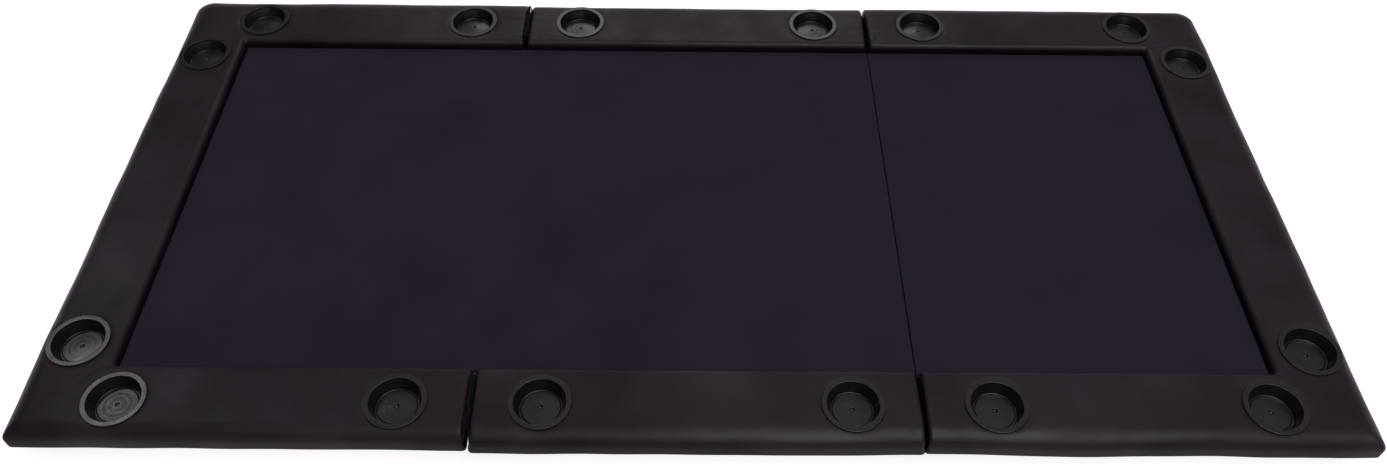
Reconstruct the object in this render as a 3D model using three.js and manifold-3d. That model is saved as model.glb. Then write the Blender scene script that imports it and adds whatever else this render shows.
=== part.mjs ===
// Folding poker table top: three padded sections that close as a Z. The left one folds up on hinges between the
// rails, playing surfaces together; the right one folds under on hinges below the boards. Millimetres, +X along the
// long side, +Y away from the near side, +Z up; the origin is on the floor below the middle of the table.
import * as THREE from 'three';
import { mergeVertices } from 'three/addons/utils/BufferGeometryUtils.js';
import Module from 'manifold-3d';

const wasm = await Module();
wasm.setup();

// Plan sizes.
const TABLE_LENGTH = 2134; // along X, over the rails
const TABLE_WIDTH = 1067; // along Y, over the rails
const RAIL_WIDTH = 133;
const CORNER_RADIUS = 28; // outer corners of the rail
const INNER_CORNER_RADIUS = 4; // where the rail's inner sides meet
const RAIL_GAP = 9; // between two sections' rails
const BOARD_GAP = 2; // between two sections' boards
const TURN_UNDER = 27; // how far the cover reaches in under the boards

// Levels and thicknesses.
const CLEARANCE = 0.3; // between pieces that rest on each other
const FOOT_REACH = 6; // the feet hold the cover this far off the floor
const COVER_THICKNESS = 1.2;
const BOARD_THICKNESS = 15;
const CORE_HEIGHT = 18;
const CORE_SETBACK = 3; // of the core's inner side from the cover's, clear of its rolled edge
const PAD_THICKNESS = 6.6;
const EDGE_ROLL = 12; // radius of the rail's padded edges
const UNDERLAY_THICKNESS = 7;
const FELT_THICKNESS = 1.2;

// Cup holders.
const CUP_FLANGE_WIDTH = 8.5; // beyond the mouth, over the cover all round the hole
const CUP_MOUTH_RADIUS = 41.5;
const CUP_FLOOR_RADIUS = 34;
const CUP_WALL = 1.5;
const CUP_DEPTH = 21;
const CUP_FLOOR_RISE = 3.5; // the floor rises to its middle
const CUP_DIMPLE_RADIUS = 3;
const CUP_DIMPLE_DEPTH = 1.3;
const CUP_HOLE_CLEARANCE = 0.8; // around the cup's body
const MIDDLE_CUP_FROM_JOINT = 110;
const OUTER_CUP_FROM_JOINT = 116;
const CORNER_CUP_FROM_END = 157;
const LONG_RAIL_CUP_INSET = 67; // from the table's long side
const END_RAIL_CUP_INSET = 63; // from the table's short side
const END_CUP_FROM_SIDE = 177;

// Hinges. The upper pair stands in the rail gap, the lower pair is under the boards.
const FOLD_CLEARANCE = 0.4; // between two sections' cup flanges when folded
const UPPER_HINGE_LENGTH = 96;
const UPPER_BARREL_RADIUS = 2.2;
const UPPER_PIN_RADIUS = 1.0;
const UPPER_LEAF_THICKNESS = 1.6;
const UPPER_LEAF_HEIGHT = 20;
const LOWER_HINGE_LENGTH = 72;
const LOWER_PIN_RADIUS = 1.2;
const LOWER_LEAF_THICKNESS = 2;
const LOWER_LEAF_WIDTH = 32;
const LOWER_HINGE_FROM_RAIL = 100.5; // from the rail's inner side to the hinge's middle
const FLOOR_CLEARANCE = 0.2; // below the lower barrels
const PIN_CLEARANCE = 0.05;
const KNUCKLES = 5;
const KNUCKLE_GAP = 0.4;
const PIN_HEAD = 0.8; // how far a pin's head stands out and how thick it is

// Feet.
const FOOT_RADIUS = 15;
const FOOT_INSET = 48; // from the edges that a corner foot stands near
const FOOT_FROM_JOINT = 60;

const CORNER_SEGMENTS = 3;
const ROLL_SEGMENTS = 3;
const ROUND_SEGMENTS = 18;
const BARREL_SEGMENTS = 12;

const joint = TABLE_LENGTH / 6;
const end = TABLE_LENGTH / 2;
const side = TABLE_WIDTH / 2;
const boardBottom = FOOT_REACH + COVER_THICKNESS + CLEARANCE;
const boardTop = boardBottom + BOARD_THICKNESS;
const coreBottom = boardTop + CLEARANCE;
const cupFlangeRadius = CUP_MOUTH_RADIUS + CUP_FLANGE_WIDTH;
const coreTop = coreBottom + CORE_HEIGHT;
const padTop = coreTop + CLEARANCE + PAD_THICKNESS;
const railTop = padTop + CLEARANCE + COVER_THICKNESS;
const underlayBottom = boardTop + CLEARANCE;
const feltBottom = underlayBottom + UNDERLAY_THICKNESS + CLEARANCE;
const flangeTop = railTop + CLEARANCE + CUP_WALL;
const coreInset = EDGE_ROLL; // the side padding is as thick as the roll that it makes
const padInset = COVER_THICKNESS + CLEARANCE;
const upperAxis = flangeTop + FOLD_CLEARANCE;
const lowerAxis = FOOT_REACH / 2 - FLOOR_CLEARANCE / 2;
const lowerBarrelRadius = lowerAxis - FLOOR_CLEARANCE;

/** The three sections: where the rails and boards of each begin and end along X. */
const sections = {
  left: { from: -Infinity, to: -joint },
  middle: { from: -joint, to: joint },
  right: { from: joint, to: Infinity },
};

const finishes = {
  vinyl: { color: 0x2c262d, roughness: 0.5, metalness: 0 },
  felt: { color: 0x28222e, roughness: 1, metalness: 0 },
  cup: { color: 0x1c1a1e, roughness: 0.35, metalness: 0 },
  board: { color: 0x8a6f50, roughness: 0.8, metalness: 0 },
  core: { color: 0xc4a273, roughness: 0.75, metalness: 0 },
  foam: { color: 0xd8d2c0, roughness: 1, metalness: 0 },
  steel: { color: 0x18181a, roughness: 0.45, metalness: 0.8 },
  rubber: { color: 0x141414, roughness: 0.9, metalness: 0 },
};

/** A closed geometry as a solid that can be cut and joined. */
function solid(geometry) {
  geometry.deleteAttribute('normal');
  geometry.deleteAttribute('uv');
  const merged = mergeVertices(geometry, 1e-4);
  return new wasm.Manifold(new wasm.Mesh({
    numProp: 3,
    vertProperties: new Float32Array(merged.attributes.position.array),
    triVerts: new Uint32Array(merged.index.array),
  }));
}

/** A solid back as a geometry. */
function geometryOf(body) {
  const mesh = body.getMesh();
  const geometry = new THREE.BufferGeometry();
  geometry.setAttribute('position', new THREE.BufferAttribute(mesh.vertProperties, 3));
  geometry.setIndex(new THREE.BufferAttribute(mesh.triVerts, 1));
  geometry.computeVertexNormals();
  return geometry;
}

const table = new THREE.Group();

/** Adds one named piece of the given finish. */
function piece(name, finish, geometry) {
  const mesh = new THREE.Mesh(geometry, new THREE.MeshStandardMaterial(finishes[finish]));
  mesh.name = name;
  table.add(mesh);
  return mesh;
}

/** An upright box between two corners. */
function box(x0, x1, y0, y1, z0, z1) {
  const geometry = new THREE.BoxGeometry(x1 - x0, y1 - y0, z1 - z0);
  geometry.translate((x0 + x1) / 2, (y0 + y1) / 2, (z0 + z1) / 2);
  return solid(geometry);
}

/** A round bar along Z, from one level to another. */
function post(radius, bottom, top, x, y) {
  const geometry = new THREE.CylinderGeometry(radius, radius, top - bottom, ROUND_SEGMENTS);
  geometry.rotateX(Math.PI / 2);
  geometry.translate(x, y, (bottom + top) / 2);
  return solid(geometry);
}

/** Draws the table's outline, moved in by an inset, with rounded corners. */
function outline(path, inset, radius) {
  const x = end - inset;
  const y = side - inset;
  path.moveTo(x, -y + radius);
  path.absarc(x - radius, y - radius, radius, 0, Math.PI / 2);
  path.absarc(-x + radius, y - radius, radius, Math.PI / 2, Math.PI);
  path.absarc(-x + radius, -y + radius, radius, Math.PI, Math.PI * 1.5);
  path.absarc(x - radius, -y + radius, radius, Math.PI * 1.5, Math.PI * 2);
  return path;
}

/** Extrudes a plan outline between two levels, with its edges rolled to a radius. */
function slab(shape, bottom, top, roll = 0) {
  const geometry = new THREE.ExtrudeGeometry(shape, {
    depth: top - bottom - 2 * roll,
    curveSegments: CORNER_SEGMENTS,
    bevelEnabled: roll > 0,
    bevelThickness: roll,
    bevelSize: roll,
    bevelOffset: -roll,
    bevelSegments: ROLL_SEGMENTS,
  });
  geometry.translate(0, 0, bottom + roll);
  return solid(geometry);
}

/** A full plate of the table's outline, moved in by an inset. */
function plate(inset, radius, bottom, top) {
  return slab(outline(new THREE.Shape(), inset, radius), bottom, top);
}

/** A ring that runs all the way round under the rail, inset from both its sides. */
function ring(outerInset, innerInset, bottom, top, roll) {
  const shape = outline(new THREE.Shape(), outerInset, CORNER_RADIUS - outerInset);
  const hole = RAIL_WIDTH - innerInset;
  shape.holes.push(outline(new THREE.Path(), hole, INNER_CORNER_RADIUS + innerInset));
  return slab(shape, bottom, top, roll);
}

/** The space of one section, short of each joint by a distance. */
function span({ from, to }, short) {
  const x0 = Number.isFinite(from) ? from + short : -TABLE_LENGTH;
  const x1 = Number.isFinite(to) ? to - short : TABLE_LENGTH;
  return box(x0, x1, -TABLE_WIDTH, TABLE_WIDTH, -TABLE_WIDTH, TABLE_WIDTH);
}

/** Where one section's cup holders stand: a name and a plan position for each. */
function cupPlaces(name) {
  const row = side - LONG_RAIL_CUP_INSET;
  const places = [];
  for (const [where, y] of [['near', -row], ['far', row]]) {
    if (name === 'middle') {
      const x = joint - MIDDLE_CUP_FROM_JOINT;
      places.push([`${where}_left`, -x, y], [`${where}_right`, x, y]);
    } else {
      const sign = name === 'left' ? -1 : 1;
      const across = side - END_CUP_FROM_SIDE;
      places.push([`${where}_joint`, sign * (joint + OUTER_CUP_FROM_JOINT), y]);
      places.push([`${where}_corner`, sign * (end - CORNER_CUP_FROM_END), y]);
      places.push([`end_${where}`, sign * (end - END_RAIL_CUP_INSET), Math.sign(y) * across]);
    }
  }
  return places;
}

/** The holes that one section's cup holders drop into. */
function cupHoles(name) {
  const radius = CUP_MOUTH_RADIUS + CUP_WALL + CUP_HOLE_CLEARANCE;
  const holes = cupPlaces(name).map(([, x, y]) => post(radius, coreBottom - 1, flangeTop, x, y));
  return wasm.Manifold.union(holes);
}

/** Adds a piece that runs round the rail: one U for an outer section, two bars for the middle. */
function railPieces(name, part, finish, body) {
  if (name !== 'middle') {
    piece(`${part}_${name}`, finish, geometryOf(body));
    return;
  }
  const near = box(-end, end, -TABLE_WIDTH, 0, -TABLE_WIDTH, TABLE_WIDTH);
  piece(`${part}_middle_near`, finish, geometryOf(body.intersect(near)));
  piece(`${part}_middle_far`, finish, geometryOf(body.subtract(near)));
}

function addBoard(name, section) {
  const endInset = RAIL_GAP / 2 + COVER_THICKNESS + CLEARANCE;
  const railEdge = side - RAIL_WIDTH - CLEARANCE;
  let board = plate(coreInset, CORNER_RADIUS - coreInset, boardBottom, boardTop)
    .intersect(span(section, BOARD_GAP / 2));
  for (const x of [-joint, joint]) {
    for (const sign of [-1, 1]) {
      const [y0, y1] = [sign * railEdge, sign * TABLE_WIDTH].sort((a, b) => a - b);
      board = board.subtract(box(x - endInset, x + endInset, y0, y1, 0, coreTop));
    }
  }
  piece(`board_${name}`, 'board', geometryOf(board));
}

function addCore(name, section, holes) {
  const body = ring(coreInset, CORE_SETBACK, coreBottom, coreTop, 0)
    .intersect(span(section, RAIL_GAP / 2 + padInset))
    .subtract(holes);
  railPieces(name, 'rail_core', 'core', body);
}

function addPad(name, section, holes) {
  const inside = coreInset - CLEARANCE;
  const body = ring(padInset, padInset, boardBottom, padTop, EDGE_ROLL - padInset)
    .intersect(span(section, RAIL_GAP / 2 + padInset))
    .subtract(plate(inside, CORNER_RADIUS - inside, 0, coreTop + CLEARANCE))
    .subtract(holes);
  railPieces(name, 'rail_pad', 'foam', body);
}

/** The cover: a skin over the rail, open below between its turned-under edge and the rail's inner side. */
function addCover(name, section, holes) {
  const skin = COVER_THICKNESS;
  const hollow = ring(skin, skin, FOOT_REACH + skin, railTop - skin, EDGE_ROLL - skin)
    .add(plate(coreInset - CLEARANCE, CORNER_RADIUS - coreInset, FOOT_REACH + skin, coreBottom))
    .add(plate(TURN_UNDER, CLEARANCE, 0, FOOT_REACH + skin + CLEARANCE))
    .intersect(span(section, RAIL_GAP / 2 + skin));
  const body = ring(0, 0, FOOT_REACH, railTop, EDGE_ROLL)
    .intersect(span(section, RAIL_GAP / 2))
    .subtract(hollow)
    .subtract(holes);
  railPieces(name, 'rail_cover', 'vinyl', body);
}

function addPlayingSurface(name, section) {
  const inset = RAIL_WIDTH + CLEARANCE;
  const layers = [
    ['underlay', 'foam', underlayBottom, UNDERLAY_THICKNESS],
    ['felt', 'felt', feltBottom, FELT_THICKNESS],
  ];
  for (const [layer, finish, bottom, thickness] of layers) {
    const sheet = plate(inset, INNER_CORNER_RADIUS, bottom, bottom + thickness)
      .intersect(span(section, BOARD_GAP / 2));
    piece(`${layer}_${name}`, finish, geometryOf(sheet));
  }
}

function addCup(name, x, y) {
  const bottom = -CUP_DEPTH - CUP_WALL;
  const edge = 0.6; // the flange's broken outer edge
  const middle = -CUP_DEPTH + CUP_FLOOR_RISE;
  const profile = [
    [0, bottom],
    [CUP_FLOOR_RADIUS - CUP_WALL, bottom],
    [CUP_MOUTH_RADIUS + CUP_WALL, -CUP_WALL],
    [cupFlangeRadius, -CUP_WALL],
    [cupFlangeRadius, -edge],
    [cupFlangeRadius - edge, 0],
    [CUP_MOUTH_RADIUS, 0],
    [CUP_FLOOR_RADIUS, -CUP_DEPTH],
    [CUP_DIMPLE_RADIUS * 2.5, middle],
    [CUP_DIMPLE_RADIUS, middle - CUP_DIMPLE_DEPTH],
    [0, middle - CUP_DIMPLE_DEPTH],
  ].map(([radius, z]) => new THREE.Vector2(radius, z));
  const geometry = new THREE.LatheGeometry(profile, ROUND_SEGMENTS);
  geometry.rotateX(Math.PI / 2);
  piece(name, 'cup', geometry).position.set(x, y, flangeTop);
}

function addFoot(name, x, y) {
  piece(name, 'rubber', geometryOf(post(FOOT_RADIUS, 0, boardBottom - CLEARANCE, x, y)));
}

/** A round bar along Y. */
function bar(radius, y0, y1) {
  const geometry = new THREE.CylinderGeometry(radius, radius, y1 - y0, BARREL_SEGMENTS);
  geometry.translate(0, (y0 + y1) / 2, 0);
  return solid(geometry);
}

/**
 * One leaf of a hinge, about a pin along Y through its own origin: a plate, and for every other knuckle a barrel
 * and the strap that ties it to the plate. `plateAt` and `strap` are [x0, x1, z0, z1] for the leaf on the -X side.
 */
function hingeLeaf(sign, length, radius, bore, plateAt, strap) {
  const sided = ([x0, x1, z0, z1], y0, y1) => box(
    Math.min(-sign * x0, -sign * x1), Math.max(-sign * x0, -sign * x1), y0, y1, z0, z1,
  );
  const pitch = (length + KNUCKLE_GAP) / KNUCKLES;
  let leaf = sided(plateAt, -length / 2, length / 2);
  for (let i = sign < 0 ? 0 : 1; i < KNUCKLES; i += 2) {
    const y0 = -length / 2 + i * pitch;
    const y1 = y0 + pitch - KNUCKLE_GAP;
    leaf = leaf.add(bar(radius, y0, y1)).add(sided(strap, y0, y1));
  }
  return leaf.subtract(bar(bore, -length, length));
}

/** A hinge pin with a small head at each end. */
function hingePin(radius, length) {
  const half = length / 2 + KNUCKLE_GAP;
  return bar(radius, -half, half)
    .add(bar(radius + PIN_HEAD, -half - PIN_HEAD, -half))
    .add(bar(radius + PIN_HEAD, half, half + PIN_HEAD));
}

/** Adds one hinge: its two leaves, named for the sections that they are on, and its pin. */
function addHinge(name, names, position, length, radius, pinRadius, plateAt, strap) {
  for (const [sign, sectionName] of [[-1, names[0]], [1, names[1]]]) {
    const leaf = hingeLeaf(sign, length, radius, pinRadius + PIN_CLEARANCE, plateAt, strap);
    piece(`${name}_leaf_${sectionName}`, 'steel', geometryOf(leaf)).position.set(...position);
  }
  piece(`${name}_pin`, 'steel', geometryOf(hingePin(pinRadius, length))).position.set(...position);
}

function addUpperHinge(where, y) {
  const face = -RAIL_GAP / 2 + CLEARANCE;
  const neck = -UPPER_BARREL_RADIUS + FOLD_CLEARANCE; // the plate's top, below the pin
  const plateAt = [face, face + UPPER_LEAF_THICKNESS, neck - UPPER_LEAF_HEIGHT, neck];
  const strap = [face, -UPPER_PIN_RADIUS, neck, FOLD_CLEARANCE];
  addHinge(`upper_hinge_${where}`, ['left', 'middle'], [-joint, y, upperAxis], UPPER_HINGE_LENGTH,
    UPPER_BARREL_RADIUS, UPPER_PIN_RADIUS, plateAt, strap);
}

function addLowerHinge(where, y) {
  const top = boardBottom - CLEARANCE - lowerAxis;
  const clear = -lowerBarrelRadius - KNUCKLE_GAP;
  const plateAt = [clear - LOWER_LEAF_WIDTH, clear, top - LOWER_LEAF_THICKNESS, top];
  const strap = [clear, -LOWER_PIN_RADIUS, lowerBarrelRadius / 3, top];
  addHinge(`lower_hinge_${where}`, ['middle', 'right'], [joint, y, lowerAxis], LOWER_HINGE_LENGTH,
    lowerBarrelRadius, LOWER_PIN_RADIUS, plateAt, strap);
}

for (const [name, section] of Object.entries(sections)) {
  const holes = cupHoles(name);
  addBoard(name, section);
  addCore(name, section, holes);
  addPad(name, section, holes);
  addCover(name, section, holes);
  addPlayingSurface(name, section);
  for (const [place, x, y] of cupPlaces(name)) addCup(`cup_${name}_${place}`, x, y);
}

for (const [where, sign] of [['near', -1], ['far', 1]]) {
  addUpperHinge(where, sign * (side - RAIL_WIDTH / 2));
  addLowerHinge(where, sign * (side - RAIL_WIDTH - LOWER_HINGE_FROM_RAIL));
  const row = sign * (side - FOOT_INSET);
  addFoot(`foot_left_${where}_joint`, -joint - FOOT_FROM_JOINT, row);
  addFoot(`foot_left_${where}_corner`, -end + FOOT_INSET, row);
  addFoot(`foot_middle_${where}`, 0, row);
  addFoot(`foot_right_${where}_joint`, joint + FOOT_FROM_JOINT, row);
  addFoot(`foot_right_${where}_corner`, end - FOOT_INSET, row);
}

export default table;
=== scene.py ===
"""Folding poker table top: rails, felt, cup holders and hinges dressed on the CAD frame, in metres."""

import logging
import math
from dataclasses import dataclass, field
from enum import Enum

import bmesh
import bpy
import numpy as np
from mathutils import Euler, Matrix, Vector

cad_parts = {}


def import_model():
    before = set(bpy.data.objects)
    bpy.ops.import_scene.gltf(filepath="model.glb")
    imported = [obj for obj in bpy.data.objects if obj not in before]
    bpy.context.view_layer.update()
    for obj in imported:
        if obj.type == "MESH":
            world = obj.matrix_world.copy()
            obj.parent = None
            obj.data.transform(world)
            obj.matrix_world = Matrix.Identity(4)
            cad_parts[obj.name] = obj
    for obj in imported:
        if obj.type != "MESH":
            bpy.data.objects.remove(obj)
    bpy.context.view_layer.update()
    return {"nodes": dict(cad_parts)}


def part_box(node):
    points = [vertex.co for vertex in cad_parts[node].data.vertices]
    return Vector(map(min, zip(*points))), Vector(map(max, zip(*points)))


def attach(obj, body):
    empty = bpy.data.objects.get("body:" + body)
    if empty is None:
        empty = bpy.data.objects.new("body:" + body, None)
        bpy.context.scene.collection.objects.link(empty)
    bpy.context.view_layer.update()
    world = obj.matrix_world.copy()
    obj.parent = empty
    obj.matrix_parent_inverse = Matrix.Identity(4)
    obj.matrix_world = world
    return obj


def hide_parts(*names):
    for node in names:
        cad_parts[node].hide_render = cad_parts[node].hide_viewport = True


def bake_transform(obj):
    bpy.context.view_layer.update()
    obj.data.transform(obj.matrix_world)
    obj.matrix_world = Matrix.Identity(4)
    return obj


LOG = logging.getLogger("table_top")
MM = 0.001
Array = np.ndarray


class Section(Enum):
    """The three hinged sections, named as their bodies are."""

    LEFT = "left"
    MIDDLE = "middle"
    RIGHT = "right"


class Side(Enum):
    """The two long sides, by the sign of Y."""

    NEAR = -1
    FAR = 1


# -------------------------------------------------------------------------------- numbers and meshes


def smooth(edge0: float, edge1: float, value: Array) -> Array:
    """A smooth step: 0 up to edge0, 1 from edge1, and 3t^2 - 2t^3 in between.

    Args:
        edge0: Where the step starts.
        edge1: Where it ends.
        value: The values to step.

    Returns:
        The stepped values.
    """
    t = np.clip((value - edge0) / (edge1 - edge0), 0.0, 1.0)
    return t * t * (3.0 - 2.0 * t)


def ripple(seed: int, x: Array, y: Array, wavelength: float, count: int = 7) -> Array:
    """Smooth, repeatable unevenness: a sum of sine waves in random directions, scaled to about -1 to 1.

    Args:
        seed: Which unevenness.
        x: Places along X.
        y: Places along Y.
        wavelength: The typical distance between two crests.
        count: How many waves are added.

    Returns:
        The height at each place.
    """
    draw = np.random.default_rng(seed)
    total = np.zeros(np.broadcast(x, y).shape)
    for angle, phase, stretch in zip(
        draw.uniform(0, 2 * np.pi, count), draw.uniform(0, 2 * np.pi, count), draw.uniform(0.7, 1.5, count)
    ):
        along = x * math.cos(angle) + y * math.sin(angle)
        total += np.sin(2 * np.pi * along / (wavelength * stretch) + phase)
    return total / math.sqrt(count) / 1.4


def grid_faces(rows: int, columns: int, rows_close: bool = False, columns_close: bool = False) -> Array:
    """The quads of a grid of points numbered row by row; each quad is (r, c), (r, c+1), (r+1, c+1), (r+1, c).

    Args:
        rows: How many rows of points.
        columns: How many points in a row.
        rows_close: Whether the last row joins the first.
        columns_close: Whether each row's end joins its start.

    Returns:
        One row of four point numbers for each quad.
    """
    r = np.arange(rows if rows_close else rows - 1)[:, None]
    c = np.arange(columns if columns_close else columns - 1)[None, :]
    r1, c1 = (r + 1) % rows, (c + 1) % columns
    corners = [r * columns + c, r * columns + c1, r1 * columns + c1, r1 * columns + c]
    return np.stack([k.reshape(-1) for k in corners], axis=1)


def make_piece(name: str, points: Array, faces: Array, material: bpy.types.Material) -> bpy.types.Object:
    """Puts points and quads into a new smooth-shaded object at the origin.

    Args:
        name: The piece's name.
        points: One row of x, y, z for each point.
        faces: One row of point numbers for each face, all with the same number of corners.
        material: The piece's material.

    Returns:
        The new object.
    """
    used, numbers = np.unique(faces.reshape(-1), return_inverse=True)
    faces = numbers.reshape(faces.shape)
    count, corners = faces.shape
    mesh = bpy.data.meshes.new(name)
    mesh.vertices.add(len(used))
    mesh.vertices.foreach_set("co", points[used].astype(np.float32).reshape(-1))
    mesh.loops.add(count * corners)
    mesh.loops.foreach_set("vertex_index", faces.astype(np.int32).reshape(-1))
    mesh.polygons.add(count)
    mesh.polygons.foreach_set("loop_start", np.arange(0, count * corners, corners, dtype=np.int32))
    mesh.polygons.foreach_set("use_smooth", np.ones(count, dtype=bool))
    mesh.materials.append(material)
    mesh.update(calc_edges=True)
    mesh.validate()
    piece = bpy.data.objects.new(name, mesh)
    bpy.context.scene.collection.objects.link(piece)
    return piece


def give_thickness(piece: bpy.types.Object, thickness: float) -> None:
    """Gives a skin its thickness, inwards from its faces.

    Args:
        piece: The skin.
        thickness: In metres.
    """
    wall = piece.modifiers.new("thickness", "SOLIDIFY")
    wall.thickness = thickness
    wall.offset = -1.0
    wall.use_even_offset = False


def turned(profile: Array, segments: int, centre: Array) -> tuple[Array, Array]:
    """Turns a profile about an upright axis: point (r, z) goes to (r cos a, r sin a, z) at each angle a.

    Args:
        profile: Rows of radius and height, from the bottom's middle round the outside to the top's middle.
        segments: How many steps round.
        centre: The axis's x and y and the level that heights count from.

    Returns:
        The points and the quads, with each pole as a small closed ring of points at one place.
    """
    angle = np.linspace(0, 2 * np.pi, segments, endpoint=False)
    radius, height = profile[:, 0][:, None], profile[:, 1][:, None]
    points = np.stack(
        [
            centre[0] + radius * np.cos(angle),
            centre[1] + radius * np.sin(angle),
            centre[2] + height + 0.0 * angle,
        ],
        axis=-1,
    )
    return points.reshape(-1, 3), grid_faces(len(profile), segments, columns_close=True)


def close_poles(piece: bpy.types.Object) -> None:
    """Merges the rings of points that stand at one place on a piece's axis, and turns every face outwards.

    Args:
        piece: The turned or stacked piece.
    """
    mesh = piece.data
    work = bmesh.new()
    work.from_mesh(mesh)
    bmesh.ops.remove_doubles(work, verts=work.verts, dist=1e-6)
    bmesh.ops.recalc_face_normals(work, faces=work.faces)
    work.to_mesh(mesh)
    work.free()
    mesh.update()


def arc(centre: tuple[float, float], radius: float, start: float, stop: float, steps: int) -> Array:
    """Points on an arc of a profile: centre plus radius at each angle from start to stop, in degrees.

    Args:
        centre: The arc's middle in the profile's own two axes.
        radius: The arc's radius.
        start: The first angle.
        stop: The last angle.
        steps: How many points.

    Returns:
        Rows of the two profile values.
    """
    angle = np.radians(np.linspace(start, stop, steps))
    return np.stack([centre[0] + radius * np.cos(angle), centre[1] + radius * np.sin(angle)], axis=1)


def line(start: tuple[float, float], stop: tuple[float, float], steps: int) -> Array:
    """Evenly spaced points of a profile on a straight line, both ends included."""
    return np.linspace(start, stop, steps)


# ------------------------------------------------------------------------------------------ finishes


def fill_ramp(ramp: bpy.types.ColorRamp, stops: list[tuple[float, tuple[float, ...]]]) -> None:
    """Gives a colour ramp its stops, each a place and a colour; the two that it starts with come first."""
    for index, (place, colour) in enumerate(stops):
        element = ramp.elements[index] if index < 2 else ramp.elements.new(place)
        element.position = place
        element.color = (*colour, 1.0)


class Shader:
    """A material under construction: one Principled surface and the procedural nodes that feed it."""

    def __init__(self, name: str) -> None:
        """Starts a material with a Principled surface.

        Args:
            name: The material's name.
        """
        self.material = bpy.data.materials.new(name)
        self.material.use_nodes = True
        self.nodes = self.material.node_tree.nodes
        self.links = self.material.node_tree.links
        self.surface = self.nodes["Principled BSDF"]
        self.place = self.nodes.new("ShaderNodeTexCoord").outputs["Object"]

    def set(self, **values: object) -> None:
        """Sets sockets of the surface; an underscore in a name stands for a space."""
        for key, value in values.items():
            self.surface.inputs[key.replace("_", " ")].default_value = value

    def noise(self, scale: float, detail: float = 3.0, roughness: float = 0.5) -> bpy.types.NodeSocket:
        """A noise of the given scale on object coordinates; its value is 0 to 1."""
        node = self.nodes.new("ShaderNodeTexNoise")
        self.links.new(self.place, node.inputs["Vector"])
        node.inputs["Scale"].default_value = scale
        node.inputs["Detail"].default_value = detail
        node.inputs["Roughness"].default_value = roughness
        return node.outputs["Fac"]

    def stretched_noise(self, scale: tuple[float, float, float], detail: float = 4.0) -> bpy.types.NodeSocket:
        """A noise with its own scale along each axis, for grain and brushing."""
        mapping = self.nodes.new("ShaderNodeMapping")
        self.links.new(self.place, mapping.inputs["Vector"])
        mapping.inputs["Scale"].default_value = scale
        node = self.nodes.new("ShaderNodeTexNoise")
        self.links.new(mapping.outputs["Vector"], node.inputs["Vector"])
        node.inputs["Scale"].default_value = 1.0
        node.inputs["Detail"].default_value = detail
        return node.outputs["Fac"]

    def cells(self, scale: float) -> bpy.types.NodeSocket:
        """Distance to the nearest border between cells: the creases of a grained skin."""
        node = self.nodes.new("ShaderNodeTexVoronoi")
        node.feature = "DISTANCE_TO_EDGE"
        self.links.new(self.place, node.inputs["Vector"])
        node.inputs["Scale"].default_value = scale
        return node.outputs["Distance"]

    def ramp(
        self, value: bpy.types.NodeSocket, stops: list[tuple[float, tuple[float, ...]]]
    ) -> bpy.types.NodeSocket:
        """Turns a value into a colour.

        Args:
            value: What is looked up.
            stops: Each stop's place and colour, in order.

        Returns:
            The colour.
        """
        node = self.nodes.new("ShaderNodeValToRGB")
        self.links.new(value, node.inputs["Fac"])
        fill_ramp(node.color_ramp, stops)
        return node.outputs["Color"]

    def scaled(self, value: bpy.types.NodeSocket, low: float, high: float) -> bpy.types.NodeSocket:
        """Maps a value of 0.3 to 0.7, where noise mostly lies, to low and high."""
        node = self.nodes.new("ShaderNodeMapRange")
        self.links.new(value, node.inputs["Value"])
        node.inputs["From Min"].default_value = 0.3
        node.inputs["From Max"].default_value = 0.7
        node.inputs["To Min"].default_value = low
        node.inputs["To Max"].default_value = high
        return node.outputs["Result"]

    def bump(
        self,
        height: bpy.types.NodeSocket,
        depth: float,
        strength: float,
        onto: bpy.types.NodeSocket | None = None,
    ) -> bpy.types.NodeSocket:
        """Raises a height pattern on the surface.

        Args:
            height: The pattern.
            depth: The height, in metres, of a value of 1.
            strength: How much of it shows.
            onto: A coarser bump that this one lies on.

        Returns:
            The normal, for the next bump or the surface.
        """
        node = self.nodes.new("ShaderNodeBump")
        node.inputs["Distance"].default_value = depth
        node.inputs["Strength"].default_value = strength
        self.links.new(height, node.inputs["Height"])
        if onto is not None:
            self.links.new(onto, node.inputs["Normal"])
        return node.outputs["Normal"]

    def feed(self, socket: str, value: bpy.types.NodeSocket) -> None:
        """Feeds one of the surface's sockets."""
        self.links.new(value, self.surface.inputs[socket])


class Finish:
    """One kind of surface. Each kind below holds its colours and says how they feed a shader."""

    def fill(self, shader: Shader) -> None:
        """Feeds the surface's sockets."""
        raise NotImplementedError

    def material(self, name: str) -> bpy.types.Material:
        """Builds this kind's material under a name."""
        shader = Shader(name)
        self.fill(shader)
        return shader.material


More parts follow.
